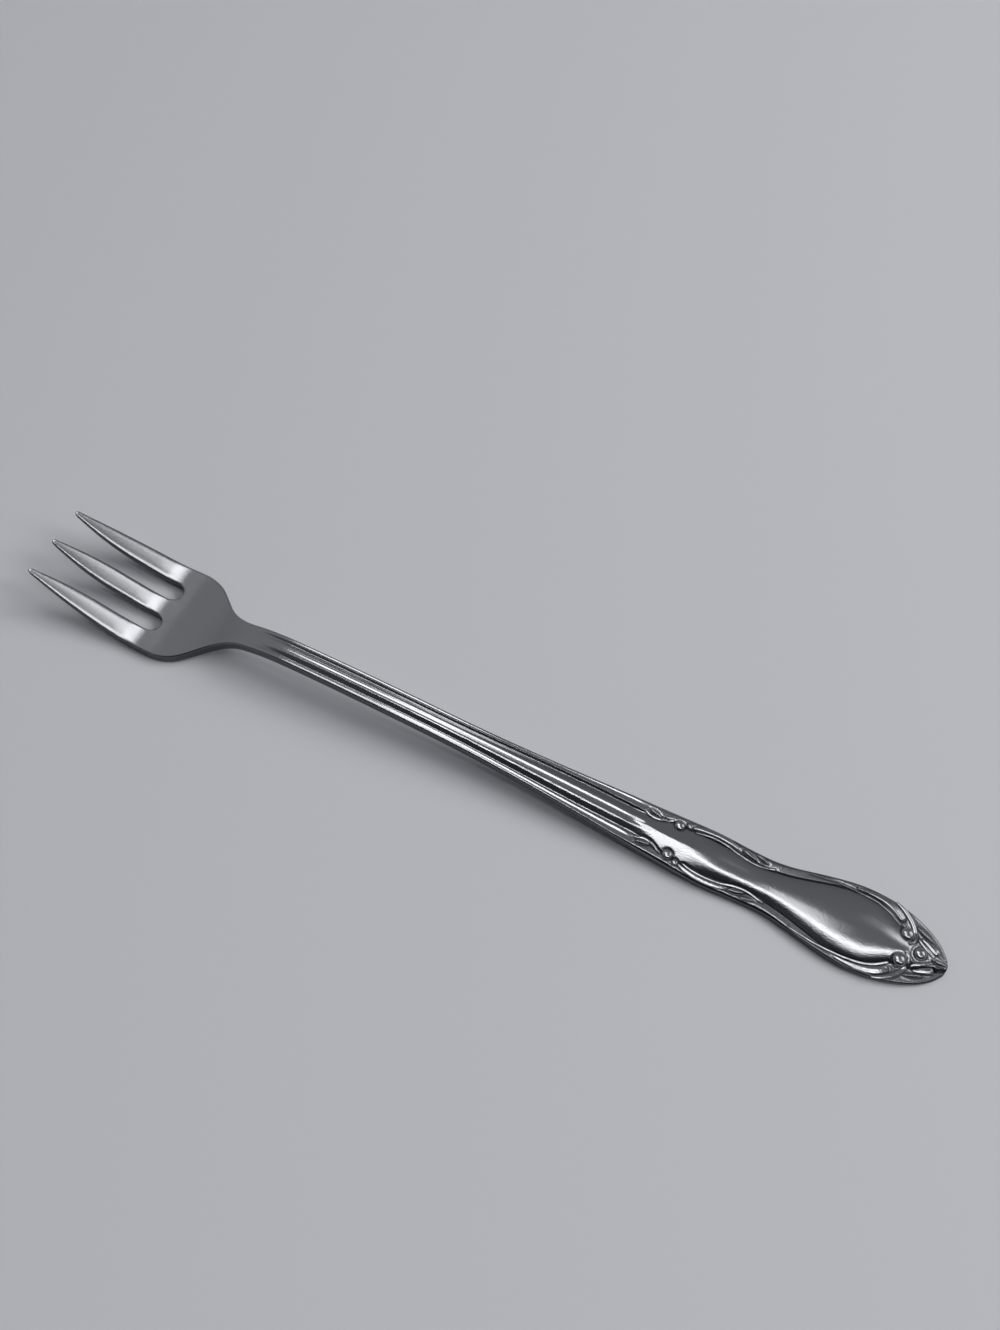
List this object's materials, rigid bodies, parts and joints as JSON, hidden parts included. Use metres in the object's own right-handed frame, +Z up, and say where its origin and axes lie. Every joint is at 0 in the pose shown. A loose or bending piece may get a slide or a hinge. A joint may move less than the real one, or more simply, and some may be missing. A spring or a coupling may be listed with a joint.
{
  "type": "oyster fork",
  "caption": "Slim oyster fork in stainless steel: pointed tines, a reeded shank and a crowned handle with scroll and bead relief.",
  "frame": {"origin": "middle of the fork's length and width, on the table it rests on", "axes": "+X along the fork towards the tip of the handle, +Y across it, +Z up, with the hollow of the tines facing up"},
  "size_m": [0.152, 0.0168, 0.008],
  "materials": {
    "stainless_steel": "polished stainless steel, finely brushed lengthwise, satin on the handle's panel"
  },
  "bodies": {
    "root": {"left_tine": "stainless_steel", "middle_tine": "stainless_steel", "right_tine": "stainless_steel", "tine_root": "stainless_steel", "neck": "stainless_steel", "reeded_shank": "stainless_steel", "handle": "stainless_steel", "reed_petals": "stainless_steel", "border_beads": "stainless_steel", "side_scrolls": "stainless_steel", "scroll_petals": "stainless_steel", "end_scrolls": "stainless_steel", "volutes": "stainless_steel", "tip_bead": "stainless_steel", "tip_leaves": "stainless_steel"}
  },
  "joints": []
}
